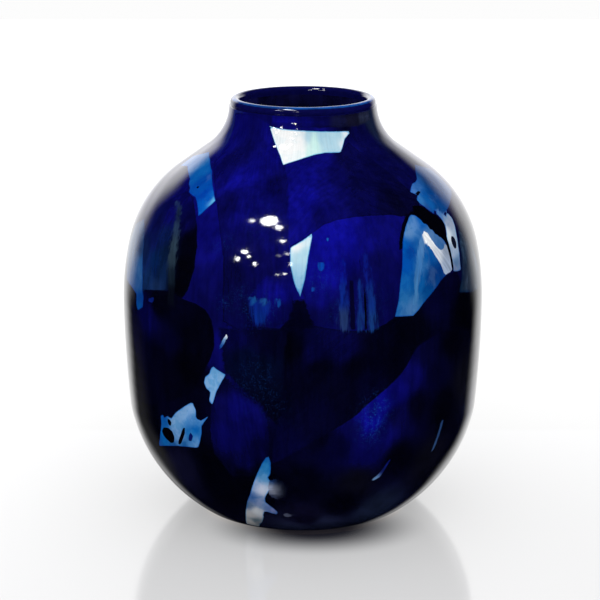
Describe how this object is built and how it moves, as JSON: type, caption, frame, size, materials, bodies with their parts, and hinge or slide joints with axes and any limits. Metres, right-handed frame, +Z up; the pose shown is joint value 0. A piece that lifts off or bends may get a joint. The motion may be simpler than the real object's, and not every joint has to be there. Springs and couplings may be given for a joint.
{
  "type": "stoneware pottery vase",
  "caption": "Large round-bellied stoneware vase with a short flared neck and rolled lip, in glossy brushed cobalt-blue glaze, standing on a bare clay foot ring.",
  "frame": {"origin": "centre of the foot ring's underside, on the surface that the vase stands on", "axes": "+Z up along the axis that the vase was thrown round; -Y faces the viewer, +X is the viewer's right"},
  "size_m": [0.3559, 0.356, 0.4109],
  "materials": {
    "bare_clay": "unglazed fired stoneware, matt and slightly gritty",
    "cobalt_glaze": "brushed cobalt blue under a deep, high-gloss glaze",
    "lip_glaze": "the same gloss glaze, thinned to a paler blue where it breaks over the lip",
    "liner_glaze": "high-gloss dark blue lining"
  },
  "bodies": {
    "root": {"foot_ring": "bare_clay", "base_floor": "bare_clay", "lower_wall": "bare_clay", "belly_wall": "bare_clay", "shoulder_wall": "bare_clay", "neck_collar": "bare_clay", "rim_roll": "bare_clay", "body_glaze": "cobalt_glaze", "lip_glaze": "lip_glaze", "liner_glaze": "liner_glaze"}
  },
  "joints": []
}
